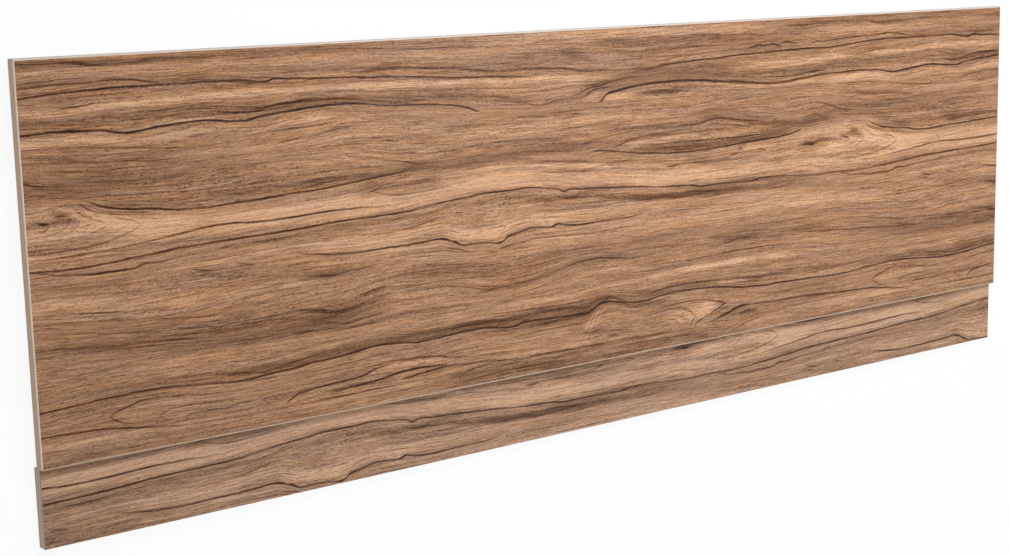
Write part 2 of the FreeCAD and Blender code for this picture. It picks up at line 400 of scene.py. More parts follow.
         (760, 186.5, .45), (800, 185, .35), (845, 183, 0)],
        [(0, 169, .12), (60, 165, .3), (100, 162, .3), (140, 160, 0)],
        [(145, 156, 0), (160, 154, .3), (205, 150.5, .3), (240, 148, 0)],
        [(70, 149, 0), (90, 147, .35), (120, 144, .35), (150, 140.5, .3), (180, 137, 0)],
        [(0, 138, .3), (60, 134, .35), (130, 129.5, .4), (180, 127, .35), (215, 124, 0)],
        [(1220, 140, 0), (1270, 137, .25), (1306, 135, .3)],
        [(1230, 170, 0), (1270, 168, .08), (1306, 166, .12)],
        [(605, 124, 0), (630, 126, .3), (668, 129, .35), (700, 131, .4), (730, 134, .05), (760, 141, .05),
         (800, 147, .45), (822, 148.5, .45), (850, 145, .55), (890, 141, .2), (920, 139, 0)],
        [(615, 108, 0), (640, 111, .05), (700, 117, .3), (780, 131, .1), (830, 138, 0)],
        [(355, 123, 0), (378, 120.5, .35), (395, 116.5, .4), (412, 113.5, .4), (432, 116, .35),
         (455, 118.5, .35), (482, 120.5, 0)],
        [(0, 66.5, .85), (50, 69, .7), (80, 71, .9), (100, 72, .6), (120, 73, .75), (145, 73, .75),
         (170, 71.5, .7), (200, 69, .65), (230, 66.5, .65), (255, 65, .7), (275, 65, .7), (300, 66.5, .85),
         (340, 69, .75), (360, 71, .7), (400, 73, .75), (430, 76, .75), (455, 78, .75), (480, 77, .7),
         (500, 75.5, .65), (520, 73.2, 1), (540, 73.5, .6), (570, 75, .65), (610, 77, .65),
         (640, 75.5, .7), (668, 72, .75), (681, 72.2, .8), (690, 75, .85), (702, 75, .5), (740, 73.5, .7),
         (780, 73, .6), (801, 72.2, .6), (815, 77, .9), (825, 80.5, .95), (832, 83, .95), (846, 83, .7),
         (856, 81.5, .65), (870, 78.8, .7), (890, 76.2, .8), (910, 76, .75), (940, 79, .7), (970, 81, .45),
         (1000, 80.2, .7), (1020, 79, .7), (1060, 76.3, .75), (1080, 73.5, .75), (1100, 71, .9),
         (1130, 68.5, .9), (1160, 67, .85), (1180, 67.5, .95), (1220, 66.5, .75), (1260, 65.5, .85),
         (1306, 63.5, .85)],
        [(210, 79, 0), (222, 77, .2), (265, 73, .3), (290, 69.5, .2), (302, 67.5, 0)],
        [(284, 69, 0), (292, 70.5, .3), (330, 75, .3), (350, 77.5, 0)],
        [(905, 80, 0), (922, 84, .15), (942, 88, .3), (962, 90.7, .25), (1000, 90, .42), (1050, 87.5, .38),
         (1100, 84, .35), (1130, 82, .45), (1148, 80, .1), (1156, 79.5, 0)],
        [(86.5, 48, 0), (89, 50, .45), (92, 52, .5), (96, 53.6, .5), (101, 54.8, .5), (108, 56.8, .5),
         (115, 59, .55), (125, 61.4, .65), (132, 62.3, .55), (140, 62.5, .45), (160, 61, .4),
         (190, 58.5, .4), (210, 56, .28), (240, 54, .2), (270, 54, .12), (310, 56, 0)],
        [(86.5, 48.8, 0), (89, 46.8, .5), (92, 44.6, .55), (97, 41.6, .5), (103, 39.2, .4),
         (112, 37.3, .25), (124, 35.5, 0)],
        [(0, 38.5, .65), (25, 38, .65), (60, 37, .65), (80, 36, .7), (100, 33.5, .65), (120, 31, .6),
         (140, 28, .5), (165, 24.5, .35), (190, 22, 0)],
        [(320, 25, 0), (325, 28, 1), (331, 31.5, .95), (336, 34.5, .7), (350, 36.2, .6), (380, 38.5, .6),
         (420, 41, .6), (438, 43.7, .95), (447, 46.8, .95), (455, 48.8, .7), (466, 50, .3),
         (480, 50.5, 0)],
        [(430, 51.5, 0), (448, 53, .3), (480, 54.5, .4), (500, 53.2, .55), (525, 52, .6), (550, 50, .5),
         (560, 47.8, .55), (575, 44.5, .25), (590, 42.2, .25), (620, 40, .35), (650, 39.5, .6),
         (680, 38, 0)],
        [(380, 28.2, 0), (395, 29.2, .5), (420, 30.9, .75), (440, 31.6, .75), (458, 33.9, 1),
         (478, 36.6, 1), (500, 38.2, .75), (520, 38.9, 1), (550, 37.5, .8), (575, 34.9, 0)],
        [(490, 27.3, 0), (498, 28.3, .6), (520, 31, .7), (550, 33.5, .85), (572, 34.6, .5), (592, 33, .45),
         (620, 31, .35), (650, 28.5, .35), (672, 26.5, .35), (700, 25, 0)],
        [(925, 61.5, 0), (950, 62.3, .4), (1000, 63.2, .5), (1030, 60.5, .6), (1050, 56, .7),
         (1062, 53.2, .75), (1069, 50.9, .85), (1072.5, 49.6, 0)],
        [(1000, 24, 0), (1010, 27.5, .5), (1030, 35, .6), (1050, 42, .65), (1060, 46, .7),
         (1068.5, 49.6, .8), (1072.5, 50.8, 0)],
        [(940, 44, 0), (955, 42.5, .4), (968, 39.5, .5), (976, 33, .5), (978, 26, 0)],
        [(1030, 25, 0), (1045, 27.7, .35), (1060, 31, .8), (1078, 35.2, .95), (1088, 38.5, 1),
         (1098, 41.8, .95), (1108, 42.8, .75), (1130, 42.3, .4), (1160, 41.3, .6), (1200, 40.3, .6),
         (1240, 39, .5), (1280, 36.3, .38), (1306, 35.5, .65)],
        [(1180, 52.5, 0), (1190, 52.7, .15), (1201, 52.3, .25), (1206, 52, 0)],
        [(838, 37.5, 0), (843, 36, .35), (849, 34.6, .5), (856, 35, .35), (862, 36.5, 0)],
        [(180, 22.5, 0), (230, 21.5, .3), (330, 20.5, .3), (400, 21, .75), (470, 21.5, .45),
         (560, 22, .08), (590, 22, .6), (615, 25, .45), (632, 26.3, .3), (645, 27, 0)],
        [(1080, 5, 0), (1088, 8.5, .1), (1110, 14.5, .4), (1140, 21, .12), (1165, 22.5, .06),
         (1200, 20.5, .3), (1240, 21, 0)],
        [(725, 276, 0), (745, 275, .3), (780, 273, .35), (810, 271, .3), (840, 268.5, 0)],
        [(845, 296.5, 0), (860, 300, .35), (876, 304.5, .45), (892, 308, .12), (915, 310.5, .05),
         (940, 311.5, 0)],
        [(1030, 236, 0), (1060, 236.5, .25), (1120, 237, .3), (1180, 238, .25), (1220, 237, .2),
         (1245, 235, 0)],
        [(1068, 140.5, 0), (1084, 142.5, .45), (1104, 145, .1), (1122, 143.5, .25), (1142, 141, 0)],
    ],
    1.55: [
        [(558, 204.6, 0), (567, 203.3, .9), (574, 201.3, 0)],
        [(580, 198, 0), (585, 196, .8), (590, 193, 0)],
        [(651, 188.6, 0), (657, 188.4, .2), (663, 190.3, 0)],
        [(664, 193.5, 0), (670, 195.3, .8), (677, 196.3, 0)],
        [(744, 200.2, 0), (750, 201.8, .8), (756, 203, 0)],
        [(306, 422, 0), (314, 422, .3), (319, 423, 0)],
        [(441, 420.5, 0), (447, 419.8, .6), (455, 419.5, 0)],
        [(284, 378, 0), (292, 379.3, .4), (300, 380.5, 0)],
        [(760, 248, 0), (767, 247, .4), (774, 247, 0)],
        [(824, 81, 0), (832, 83.5, .5), (842, 84, 0)],
        [(1130, 230, 0), (1138, 230.3, .15), (1146, 231, 0)],
        [(448, 32.4, 0), (458, 33.9, .5), (478, 36.6, .6), (500, 38.2, .1), (520, 38.9, .35),
         (540, 38.2, .2), (556, 37, 0)],
        [(425, 426.2, 0), (455, 427.2, .45), (480, 428.2, .6), (520, 427.2, .3), (560, 425.2, .4),
         (592, 423.2, .25), (620, 418.7, .55), (655, 416.2, .4), (690, 415.7, .25), (730, 415.2, .55),
         (780, 412.2, .5), (800, 408.7, .5), (830, 407.2, .32), (855, 409.2, .25), (880, 411.2, 0)],
        [(0, 460, .12), (60, 459, .15), (80, 456, .4), (100, 453.5, .25), (130, 454, .22), (170, 455, 0)],
        [(834, 364.6, 0), (838, 367.1, 1), (842, 371.6, 1), (846, 374.9, 1), (858, 376.9, 1),
         (880, 380.1, .95), (900, 382.4, .85), (925, 383.9, .85), (960, 384.1, .8), (1000, 383.6, .75),
         (1020, 382.6, .75), (1050, 380.1, .75), (1100, 376.1, .65), (1140, 371.9, .7), (1160, 370.4, .85),
         (1180, 370.1, .75), (1200, 370.8, .7), (1230, 372.8, .7), (1260, 375.6, .7), (1285, 377.1, .7),
         (1306, 377.6, .7)],
        [(145, 386, 0), (160, 387, .2), (200, 389, .25), (270, 388, .35), (295, 388, .35), (310, 391, .3),
         (325, 393.5, .3), (345, 395, .85), (400, 396, .3), (432, 394.5, .2), (470, 392, 0)],
        [(8, 285, 0), (12, 284.5, .2), (18, 282, .35), (22, 280.5, .85), (27, 280, .6), (31, 280, 0)],
        [(34, 291, 0), (38, 290.5, .12), (46, 290, .18), (50, 291, 0)],
        [(690, 294.8, 0), (715, 291.8, .12), (740, 289.3, .28), (780, 286.3, .35), (800, 284.6, .4),
         (830, 281.3, .12), (860, 279.5, .3), (905, 278.3, 0)],
        [(284, 230, 0), (292, 231, .12), (302, 229.5, .15), (316, 231, .2), (330, 231.5, .2),
         (345, 232, 0)],
        [(330, 181.7, 0), (360, 180.2, .3), (398, 177.2, .45), (420, 179.2, .35), (445, 181.2, .25),
         (470, 182.2, 0)],
        [(185, 202, 0), (205, 199.5, .12), (240, 195, .15), (300, 188, .08), (345, 186, 0)],
        [(325, 113.8, 0), (345, 111.8, .35), (380, 109.3, .15), (420, 107.8, .4), (455, 108.3, .1),
         (490, 110.3, 0)],
        [(834, 86, 0), (841, 88.3, .3), (849, 90, .2), (856, 86.5, .25), (864, 83, .3), (876, 80.5, 0)],
        [(796, 47, 0), (802, 45, .12), (810, 43, .12), (825, 41, .15), (845, 40.5, 0)],
        [(660, 22.2, 0), (685, 24.2, .35), (720, 26.2, .4), (780, 25.2, .4), (860, 25.2, .4),
         (920, 23.2, .35), (980, 22.2, .25), (1030, 21.2, 0)],
        [(950, 265, 0), (965, 264.5, .65), (985, 265.5, .2), (1005, 265.5, .3), (1040, 265, .35),
         (1070, 265, .25), (1090, 266, 0)],
    ],
    2.4: [
        [(1222, 274.2, 0), (1230, 274.2, .4), (1242, 274.2, .75), (1252, 272.6, .9), (1265, 275.8, .6),
         (1282, 276.8, .35), (1306, 277.2, 0)],
        [(900, 56, 0), (930, 57, .15), (960, 57, .22), (980, 55.5, .3), (993, 52, .38), (1001, 47.5, .42),
         (1006, 42.5, .42), (1010, 38, 0)],
        [(996, 24.5, 0), (1001, 28.5, .38), (1005, 33, .42), (1008, 38, .42), (1010.5, 42, 0)],
        [(1050, 29, 0), (1066, 32.5, .25), (1080, 36, .35), (1090, 39.5, .4), (1100, 41.5, .35),
         (1112, 42.5, .2), (1125, 42.5, 0)],
        [(325, 143, 0), (345, 139, .2), (365, 136, .3), (385, 132, .35), (402, 130, .4), (420, 131.5, .35),
         (440, 135, .25), (465, 139, .15), (480, 141, 0)],
        [(425, 144, 0), (440, 147, .35), (462, 151, .4), (485, 153, 0)],
        [(470, 82, 0), (500, 84.5, .3), (530, 86, .4), (565, 84.5, .35), (600, 86, .45), (640, 84.5, .35),
         (668, 83, .35), (720, 86, .3), (780, 83.5, .3), (805, 81, 0)],
        [(1096, 28.5, 0), (1104, 30, .25), (1115, 32.5, .3), (1128, 33, .25), (1138, 31.5, 0)],
    ],
    4.2: [
        [(26, 293.5, 0), (34, 292, .25), (44, 289.5, .33), (52, 286, .28), (60, 281.5, .15), (66, 279, 0)],
        [(30, 286, 0), (38, 284.5, .24), (48, 282.5, .24), (57, 279.5, .2), (66, 275, 0)],
    ],
}

# Wide dark bands, and then wide light ones, in the same way: the width is to where they have half faded, and
# a light band's strength below 0 darkens.
dark_bands = {
    2.5: [
        [(800, 448, 0), (850, 447, .3), (920, 446, .25), (980, 446, .3), (1060, 446, .3), (1120, 445, .2),
         (1160, 444, 0)],
        [(0, 206, 0), (40, 205, .35), (70, 204, .2), (110, 202, 0)],
    ],
    3.3: [
        [(0, 458, .3), (60, 458, .35), (100, 454, .35), (160, 456, .4), (240, 457, .4), (320, 457, .35),
         (380, 455, .3), (450, 455, .25), (520, 453, .12), (580, 452, 0)],
        [(895, 370, 0), (915, 370, .6), (945, 370, 1.1), (975, 370.5, 1), (995, 371, .35), (1015, 372, 0)],
        [(0, 354, 0), (30, 352, .4), (60, 348, .4), (100, 345, .35), (140, 342, .25), (180, 338, .2),
         (220, 336, 0)],
        [(90, 299, 0), (120, 296, .4), (180, 295, .4), (260, 295, .6), (330, 296, .55), (420, 297, .6),
         (480, 297, .6), (520, 300, .4), (540, 302, 0)],
        [(90, 294, 0), (130, 291, .4), (200, 288, .35), (280, 289, .3), (360, 291, .3), (420, 293, 0)],
        [(570, 317, 0), (640, 316, .3), (690, 318, .35), (740, 317, .3), (800, 312, 0)],
        [(850, 303, 0), (880, 306, .3), (910, 310, .5), (960, 311, .55), (1010, 311, .4), (1060, 310, .3),
         (1110, 309, .25), (1150, 306, 0)],
        [(810, 322, 0), (860, 323, .25), (920, 322, .4), (980, 321, .45), (1010, 322, .5),
         (1045, 327, .65), (1070, 324, .6), (1100, 320, .6), (1140, 313, .5), (1180, 309, .45),
         (1220, 308, .3), (1260, 306, 0)],
        [(500, 293, 0), (560, 294, .3), (620, 295, .25), (660, 297, 0)],
        [(980, 228, 0), (1020, 227, .6), (1080, 228, .5), (1140, 229, .6), (1200, 226, .5),
         (1260, 224.5, .35), (1306, 224, 0)],
        [(200, 226, 0), (250, 229, .2), (300, 231, .35), (350, 232, .3), (400, 235, .25), (450, 237, .3),
         (520, 239, .25), (580, 243, 0)],
        [(1030, 151, 0), (1050, 151, .3), (1080, 148, .3), (1105, 145, .3), (1130, 145, .2),
         (1150, 145, 0)],
        [(0, 8, 0), (50, 7, .35), (120, 8, .2), (200, 8, .3), (280, 6, .3), (340, 5, .3), (400, 4, .2),
         (460, 3, 0)],
    ],
    4.5: [
        [(1190, 452, 0), (1230, 454, .35), (1306, 455, .35)],
        [(770, 433, 0), (795, 430, .3), (815, 427, .2), (830, 425, 0)],
        [(130, 430, 0), (170, 430, .2), (220, 431, .4), (260, 430, .3), (300, 428, .2), (340, 430, .2),
         (420, 432, .15), (480, 430, .15), (560, 428, .15), (620, 424, .1), (680, 420, 0)],
        [(240, 388, 0), (280, 389, .35), (320, 390, .55), (360, 391, .5), (420, 392, .5), (480, 390, .5),
         (560, 389, .5), (620, 385, .45), (660, 380, .4), (720, 374, .3), (780, 372, .35), (810, 376, .2),
         (830, 380, 0)],
        [(1000, 333, 0), (1040, 335, .35), (1080, 331, .3), (1120, 323, .25), (1170, 315, .3),
         (1220, 312, .35), (1260, 313, .35), (1290, 309, .2), (1306, 308, 0)],
        [(1130, 302, 0), (1160, 302, .45), (1210, 303, .5), (1250, 305, .55), (1280, 306, .25),
         (1306, 305, 0)],
        [(870, 292, 0), (905, 291, .5), (950, 290, .85), (1000, 289, 1), (1050, 289, .9), (1100, 291, .8),
         (1150, 293, .6), (1190, 295, .4), (1220, 297, 0)],
        [(400, 282, 0), (440, 283, .2), (500, 281, .25), (540, 284, .25), (580, 288, .2), (620, 290, 0)],
        [(570, 241, 0), (620, 245, .3), (660, 245, .45), (700, 242, .5), (740, 239, .5), (780, 237, .6),
         (820, 234, .6), (860, 230, .75), (900, 226, .9), (950, 222, 1), (1000, 221, 1), (1040, 219, 1),
         (1090, 220, .8), (1140, 218, .7), (1200, 216, .5), (1250, 212, .3), (1306, 210, 0)],
        [(600, 127, 0), (660, 129, .4), (700, 133, .35), (730, 136, .3), (760, 142, .3), (810, 147, .4),
         (860, 144, .35), (900, 141, .2), (950, 138, 0)],
        [(770, 76.5, 0), (790, 77, .35), (810, 80, .5), (825, 84.5, .5), (840, 87, .4), (855, 86, .25),
         (870, 82, 0)],
        [(600, 68, 0), (660, 69, .5), (720, 70, .8), (780, 70, .8), (810, 71, .5), (830, 75, 0)],
        [(860, 72, 0), (900, 70, .4), (940, 70, .2), (960, 70, 0)],
        [(290, 38, 0), (320, 36, .3), (345, 35, .4), (360, 36, 0)],
        [(760, 50, 0), (790, 48, .3), (810, 46, .2), (830, 42, .15), (860, 38, .2), (900, 38, 0)],
        [(1040, 28, 0), (1070, 31, .4), (1105, 31, .45), (1130, 31, .4), (1145, 30, 0)],
        [(1090, 52, 0), (1140, 52, .25), (1200, 54, .25), (1260, 50, .2), (1306, 50, 0)],
    ],
    6: [
        [(0, 393, .35), (60, 392, .35), (120, 394, .35), (180, 396, .3), (240, 397, .3), (300, 398, .2),
         (340, 399, 0)],
        [(1090, 388, 0), (1130, 389, .3), (1200, 386, .35), (1260, 387, .35), (1306, 390, .35)],
        [(480, 303, 0), (530, 303, .5), (600, 303, .45), (680, 304, .5), (740, 306, .45), (800, 306, .4),
         (840, 306, .25), (870, 303, 0)],
        [(0, 79.8, .2), (60, 79.8, .25), (120, 78.8, .4), (200, 76.8, .5), (260, 73.8, .5),
         (320, 73.8, .6), (380, 77.8, .5), (440, 81.8, .5), (500, 82.8, .5), (560, 80.8, .5),
         (620, 81.8, .6), (680, 81.8, .6), (740, 81.8, .6), (800, 81.8, .5), (830, 87.8, .4),
         (870, 84.8, .3), (920, 83.8, .5), (980, 85.8, .45), (1040, 83.8, .35), (1100, 78.8, .3),
         (1150, 79.8, .35), (1220, 79.8, .3), (1306, 76.8, .2)],
        [(1130, 34, 0), (1180, 32, .2), (1240, 33, .2), (1306, 31, 0)],
    ],
    9: [
        [(690, 436, 0), (740, 433, .15), (790, 431, .3), (840, 436, .2), (900, 437, .25), (960, 437, .3),
         (1020, 436, .35), (1080, 435, .35), (1140, 436, .3), (1190, 435, .3), (1230, 433, 0)],
        [(790, 385, 0), (830, 387, .3), (870, 392, .4), (930, 395, .45), (990, 394, .45), (1040, 393, .45),
         (1080, 392, .4), (1120, 388, .2), (1160, 386, 0)],
        [(190, 200, 0), (240, 196, .25), (300, 190, .3), (350, 187, .25), (400, 179, .4), (430, 180, .2),
         (470, 182, 0)],
        [(450, 160, 0), (500, 160, .3), (560, 162, .4), (620, 157, .45), (660, 150, .4), (700, 150, .3),
         (740, 156, .35), (790, 160, .3), (850, 158, .3), (920, 158, .2), (960, 160, 0)],
        [(1030, 150, 0), (1080, 148, .2), (1120, 150, .25), (1180, 147, .2), (1240, 148, .25),
         (1306, 140, 0)],
        [(520, 9.8, 0), (570, 12.8, .3), (620, 12.8, .5), (680, 11.8, .65), (740, 12.8, .7),
         (790, 12.8, .55), (850, 12.8, .45), (910, 12.8, .4), (960, 10.8, .4), (1020, 9.8, .35),
         (1070, 6.8, .3), (1100, 3.8, .2), (1130, 1.8, 0)],
    ],
    13: [
        [(0, 322, .4), (60, 322, .42), (120, 322, .45), (180, 322, .35), (240, 322, .25), (300, 320, .15),
         (340, 318, 0)],
        [(1220, 316, 0), (1260, 318, .3), (1306, 319, .4)],
        [(0, 139.5, 0), (60, 135.5, .25), (120, 130.5, .3), (180, 125.5, .4), (240, 121.5, .5),
         (300, 121.5, .55), (350, 123.5, .6), (400, 125.5, .65), (430, 127.5, .45), (470, 129.5, .2),
         (500, 131.5, 0)],
    ],
}
light_bands = {
    60: [
        [(0, 228, .13), (1306, 225, .13)],
        [(0, 452, -.1), (1306, 449, -.1)],
        [(0, 100, -.05), (1306, 97, -.05)],
    ],
    1.6: [
        [(0, 427, 0), (40, 429, .35), (110, 431, .3), (140, 431, 0)],
        [(125, 377.5, 0), (150, 380.5, .55), (180, 383, .65), (220, 385, .6), (260, 384.5, .6),
         (280, 383.5, .35), (292, 382, 0)],
        [(150, 210, 0), (170, 211, .5), (200, 212, .55), (240, 213.5, .6), (300, 216, .5), (340, 219, .45),
         (380, 221, .3), (420, 222, 0)],
        [(455, 198, 0), (480, 198, .55), (520, 197, .5), (560, 197.5, .45), (572, 197, 0)],
        [(690, 178, 0), (720, 182.5, .4), (750, 184, .5), (780, 182.5, .3), (820, 181, 0)],
        [(680, 192, 0), (700, 195, .3), (740, 196, .4), (770, 195, .2), (800, 193, 0)],
    ],
    2.4: [
        [(1042, 82, 0), (1060, 83.5, .6), (1085, 82, .7), (1108, 79.5, .5), (1125, 78, 0)],
        [(797, 42, 0), (802, 49, .7), (807, 57, .8), (812, 65, .6), (817, 71, 0)],
        [(806, 44, 0), (812, 53, .6), (818, 62, .7), (824, 70, .5), (829, 76, 0)],
        [(817, 50, 0), (823, 58, .5), (829, 67, .6), (835, 75, .4), (840, 79, 0)],
        [(1040, 374, 0), (1065, 371.5, .45), (1090, 369, .75), (1110, 368, .75), (1140, 366.5, .55),
         (1200, 366, .55), (1250, 366.5, .6), (1306, 368, 0)],
        [(530, 282, 0), (560, 284, .25), (600, 287, .4), (650, 290, .8), (690, 290, .7), (720, 287, .8),
         (760, 283.5, .95), (800, 279, .85), (830, 275.5, .9), (850, 273, .6), (880, 271, .4),
         (920, 268, .35), (950, 268, .3), (980, 268, 0)],
        [(1190, 184, 0), (1230, 184, .4), (1306, 183, 0)],
        [(620, 45, 0), (660, 43, .35), (690, 42, .35), (720, 40, .2), (740, 39, 0)],
        [(640, 33, 0), (680, 31, .4), (740, 30, .55), (800, 29.5, .5), (860, 29, .35), (900, 29.5, .4),
         (940, 30, .35), (970, 31, .2), (990, 32, 0)],
        [(935, 45, 0), (955, 41.5, .6), (975, 38, .7), (985, 35, .4), (1000, 33, 0)],
    ],
    3.5: [
        [(0, 405, .65), (50, 404, .6), (90, 407.5, .8), (160, 409, .75), (240, 411, .75), (330, 411, .75),
         (400, 409.5, .85), (470, 409, 1), (530, 407, .85), (600, 405, .75), (680, 402, .85),
         (760, 400, .85), (810, 398, .6), (850, 396, .2), (880, 395, 0)],
        [(1240, 400, 0), (1306, 402, .65)],
        [(1250, 241.5, 0), (1306, 240, .85)],
        [(660, 391, 0), (700, 391, .35), (760, 391, .4), (810, 392, .2), (840, 392, 0)],
        [(838, 365.6, 0), (848, 369.6, .65), (862, 369.6, .7), (880, 369.6, .55), (895, 369.6, .2),
         (905, 369.6, 0)],
        [(800, 366, 0), (815, 371, .25), (826, 374, .3), (836, 378, 0)],
        [(560, 333, 0), (620, 333.5, .3), (700, 332, .25), (800, 330, .2), (860, 330, 0)],
        [(860, 300, 0), (890, 303, .3), (930, 304, .35), (990, 303, .35), (1040, 301, .25),
         (1100, 302, .2), (1140, 302, 0)],
        [(0, 243, .85), (60, 242.5, .8), (110, 245, .7), (150, 248, .5), (190, 250.5, .4), (230, 251, .5),
         (280, 250, .65), (340, 250.5, .7), (400, 252, .7), (450, 252, .6), (520, 256, .3), (560, 258, 0)],
        [(1105, 277, 0), (1115, 277, .5), (1145, 277.5, .5), (1160, 276, .3), (1180, 276, 0)],
        [(1100, 263, 0), (1160, 264, .35), (1200, 265, .4), (1240, 262, .3), (1270, 262, .35),
         (1306, 263, 0)],
        [(960, 110, 0), (1000, 110.5, .5), (1050, 111, .75), (1110, 111.5, .8), (1160, 111, .75),
         (1210, 110, .6), (1255, 108, .5), (1306, 107, 0)],
        [(440, 43, 0), (460, 46, .5), (480, 47.5, .65), (510, 46.5, .7), (540, 45, .6), (565, 42.5, .35),
         (580, 41, 0)],
        [(300, 30, 0), (340, 31, .4), (370, 31.5, .4), (400, 30.5, .25), (430, 29, 0)],
        [(0, 26, .55), (60, 25, .55), (120, 24, .55), (180, 22, .45), (240, 20, .3), (320, 18, .25),
         (400, 16, .3), (460, 15, .25), (520, 17, 0)],
        [(1150, 24, 0), (1200, 24, .2), (1260, 23, .35), (1306, 23, .55)],
        [(0, 55, 0), (40, 55, .25), (90, 58, .2), (110, 62, 0)],
        [(470, 134, 0), (520, 135, .25), (580, 135, .2), (640, 134, 0)],
        [(470, 183, 0), (500, 182, .2), (560, 178, .3), (600, 173, .35), (640, 170, .2), (670, 168, 0)],
    ],
    4.7: [
        [(0, 446, .5), (60, 446, .5), (120, 445, .42), (200, 444, .3), (330, 443, .32), (420, 442, .35),
         (480, 440, .3), (560, 441, .25), (640, 443, .2), (700, 445, 0)],
        [(1225, 446, 0), (1260, 444, .25), (1306, 443, .5)],
        [(1070, 397, 0), (1120, 399, .4), (1170, 399, .55), (1240, 400, .55), (1306, 402, 0)],
        [(0, 371, .95), (50, 371.5, .95), (100, 370.5, .85), (130, 368.5, .5), (160, 369.5, .45),
         (200, 371.5, .55), (220, 373, .5), (250, 371, .35), (300, 371, .25), (340, 373, .5),
         (370, 374, .6), (400, 374, .35), (450, 371, .15), (480, 370, 0)],
        [(1250, 366.5, 0), (1306, 368, .95)],
        [(1250, 108, 0), (1306, 107, .3)],
        [(170, 347, 0), (200, 347, .25), (300, 346, .25), (360, 345, .3), (420, 348, .4), (470, 349, .35),
         (530, 348, .2), (560, 343, .3), (600, 341, .4), (660, 341, .4), (760, 341.5, .45), (820, 342, .5),
         (880, 341, .4), (940, 339, .3), (990, 339, .2), (1030, 341, 0)],
        [(540, 276, 0), (580, 277, .4), (640, 280, .5), (700, 278, .5), (740, 274, .3), (780, 270, .2),
         (820, 267, 0)],
        [(1060, 203, 0), (1100, 205, .3), (1160, 207, .4), (1200, 203, .3), (1250, 200, 0)],
        [(0, 110, .3), (40, 108, .2), (80, 100, .2), (140, 101, .35), (220, 100, .3), (300, 99, .3),
         (380, 101, .35), (460, 101, .3), (540, 101, .3), (620, 100, .35), (700, 99, .45),
         (750, 99.5, .55), (790, 100, .4), (830, 105, .3), (900, 106, .35), (950, 108, .4),
         (1000, 110.5, .4), (1060, 111, .3), (1120, 111.5, 0)],
        [(440, 119, 0), (500, 119, .2), (560, 121, .2), (640, 115, .15), (700, 119, .25), (760, 117, .2),
         (800, 125, .3), (850, 127, .3), (920, 125, .2), (980, 128, .3), (1020, 128, .2), (1060, 127, 0)],
    ],
    6.5: [
        [(600, 456, 0), (660, 456, .4), (760, 456, .45), (860, 457, .5), (960, 456, .5), (1040, 456, .4),
         (1110, 455, .35), (1170, 455, 0)],
        [(40, 255, 0), (80, 255, .15), (120, 257, .35), (160, 257, .4), (190, 259, .3), (220, 260, 0)],
        [(1170, 280, 0), (1220, 286, .25), (1260, 290, .35), (1306, 289, 0)],
        [(340, 214, 0), (380, 213, .4), (440, 213, .45), (500, 214, .45), (540, 219, .4), (580, 223, .4),
         (620, 222, .3), (680, 218, .3), (740, 215, .35), (790, 211, .45), (840, 210, .3), (900, 208, .15),
         (950, 206, 0)],
        [(560, 213, 0), (580, 209, .6), (600, 206, .9), (620, 204, 1), (645, 203, 1), (660, 206, .7),
         (690, 210, .55), (720, 210.5, .5), (760, 209, .3), (800, 208, 0)],
        [(0, 186, .5), (30, 186, .55), (60, 184, .35), (110, 178, .25), (160, 170, .15), (200, 168, .2),
         (220, 167, 0)],
        [(1255, 184, 0), (1306, 183, .5)],
        [(90, 47, 0), (110, 48, .25), (140, 50, .3), (200, 50, .2), (260, 49, 0)],
    ],
    8.5: [
        [(0, 267.5, .7), (50, 270.5, .9), (85, 271.5, 1), (120, 268.5, 1), (160, 263.2, .9),
         (220, 264.2, .7), (280, 264.2, .8), (340, 264.2, .8), (400, 264.2, .85), (460, 263.2, .75),
         (520, 262.2, .55), (560, 264.2, .6), (600, 267.2, .75), (640, 269.2, .85), (700, 267.2, .95),
         (740, 264.2, .75), (800, 261.2, .65), (860, 257.2, .65), (900, 252.2, .75), (950, 249.2, .85),
         (1000, 249.2, 1), (1040, 247.2, .9), (1080, 245.8, .7), (1140, 245.2, .6), (1200, 244.2, .5),
         (1250, 242.2, .6), (1306, 240.2, 0)],
        [(0, 292, .4), (20, 296, .45), (60, 288, .5), (90, 283, .6), (120, 277, .5), (160, 275, .4),
         (200, 271, .3), (230, 270, 0)],
        [(680, 180, 0), (720, 183, .35), (780, 186, .35), (840, 186, .3), (900, 184, .3), (960, 185, .35),
         (1020, 187, .4), (1080, 188, .45), (1160, 190, .45), (1220, 186, .45), (1260, 184, .5),
         (1306, 183, 0)],
        [(1240, 265, 0), (1280, 264, .4), (1306, 264.5, .7)],
        [(1260, 290, 0), (1306, 289, .4)],
        [(945, 48, 0), (975, 46, .5), (1000, 48, .7), (1030, 49, .8), (1050, 49, .5), (1062, 49, 0)],
        [(985, 36, 0), (1010, 35, .5), (1030, 38, .4), (1048, 43, 0)],
    ],
}

# The bands go on the ground's tone first, the light ones up to the lightest tone. The veins go over them,
# and are darker in some patches than in others.
ground_tone = 0.683
lightest_tone = 0.93
band_crown = 1.5
dark_band_depth = -0.255
light_band_lift = 0.22
vein_crown = 1.6
vein_depth = -0.49
tone = ground_tone
for width, strokes in dark_bands.items():
    tone = lay(tone, feathered, width, strokes, band_crown, dark_band_depth)
for width, strokes in light_bands.items():
    tone = lay(tone, feathered, width, strokes, band_crown, light_band_lift)
tone = calc(sheet, "SMOOTH_MIN", tone, lightest_tone, 0.12)
dark = 0.0
for width, strokes in veins.items():
    dark = lay(dark, rise_mm, width, strokes, vein_crown, 1.0)
dark = calc(sheet, "MINIMUM", dark, 1.0)
patchy = ranged(sheet, streaks(grain, 40.0, 8.0), (0.3, 0.7), (0.8, 1.12))
tone = plus(tone, calc(sheet, "MULTIPLY", dark, patchy), vein_depth, 0.0)

